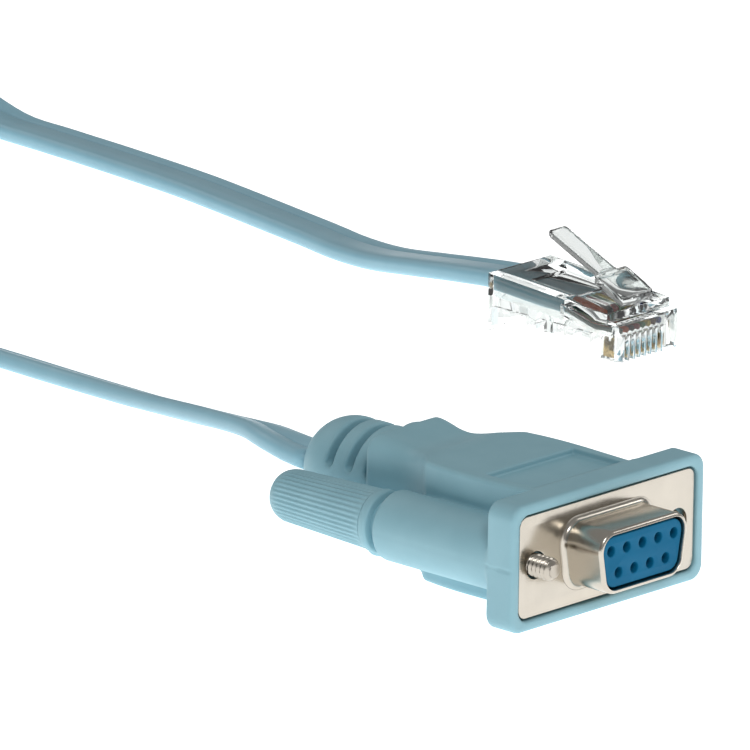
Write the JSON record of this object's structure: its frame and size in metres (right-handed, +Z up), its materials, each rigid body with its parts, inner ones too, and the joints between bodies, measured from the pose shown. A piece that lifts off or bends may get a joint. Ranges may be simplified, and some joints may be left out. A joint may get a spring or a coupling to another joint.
{
  "type": "rj45 console cable",
  "caption": "Flat light-blue serial console lead with a nine-way D connector and thumbscrews at one end and a clear eight-way modular plug at the other.",
  "frame": {"origin": "bottom centre of the nine-way connector, on the floor it lies on", "axes": "+X across the connector to its narrow end on the right seen from the front, +Y from the mating face back along the cable, +Z up with the wide row of sockets on top"},
  "size_m": [0.1184, 0.2984, 0.0158],
  "materials": {
    "moulded_blue": "fine moulded satin",
    "cable_blue": "smooth flexible jacket",
    "nickel": "nickel plated pressed steel",
    "screw_steel": "plated machined thread",
    "insulator_blue": "fine moulded satin",
    "gold": "gold plated",
    "clear_plastic": "clear polished",
    "tie_black": "woven hook and loop strap",
    "wire_grey": "thin wire insulation",
    "wire_orange": "thin wire insulation",
    "wire_black": "thin wire insulation",
    "wire_red": "thin wire insulation",
    "wire_green": "thin wire insulation",
    "wire_yellow": "thin wire insulation",
    "wire_brown": "thin wire insulation",
    "wire_blue": "thin wire insulation"
  },
  "bodies": {
    "root": {"hood": "moulded_blue", "metal_shell": "nickel", "insulator": "insulator_blue", "socket_contact_1": "gold", "socket_contact_2": "gold", "socket_contact_3": "gold", "socket_contact_4": "gold", "socket_contact_5": "gold", "socket_contact_6": "gold", "socket_contact_7": "gold", "socket_contact_8": "gold", "socket_contact_9": "gold", "plug_housing": "clear_plastic", "plug_blade_1": "gold", "wire_1": "wire_grey", "plug_blade_2": "gold", "wire_2": "wire_orange", "plug_blade_3": "gold", "wire_3": "wire_black", "plug_blade_4": "gold", "wire_4": "wire_red", "plug_blade_5": "gold", "wire_5": "wire_green", "plug_blade_6": "gold", "wire_6": "wire_yellow", "plug_blade_7": "gold", "wire_7": "wire_brown", "plug_blade_8": "gold", "wire_8": "wire_blue", "cable_at_connector": "cable_blue", "cable_at_plug": "cable_blue", "cable_coil": "cable_blue", "coil_tie_front": "tie_black", "coil_tie_rear": "tie_black"},
    "left_thumbscrew": {"left_screw": "screw_steel", "left_knob": "moulded_blue"},
    "right_thumbscrew": {"right_screw": "screw_steel", "right_knob": "moulded_blue"},
    "latch": {"plug_latch": "clear_plastic"}
  },
  "joints": [
    {"name": "left_screw_turn", "type": "hinge", "parent": "root", "child": "left_thumbscrew", "pos_m": [-0.0125, 0.01, 0.0079], "axis": [0, 1, 0], "continuous": true},
    {"name": "right_screw_turn", "type": "hinge", "parent": "root", "child": "right_thumbscrew", "pos_m": [0.0125, 0.01, 0.0079], "axis": [0, 1, 0], "continuous": true},
    {"name": "latch_press", "type": "hinge", "parent": "root", "child": "latch", "pos_m": [0.0815, 0.0494, 0.007], "axis": [1, 0, 0], "range_deg": [-15, 0], "stiffness_Nm_per_rad": 0.05}
  ]
}
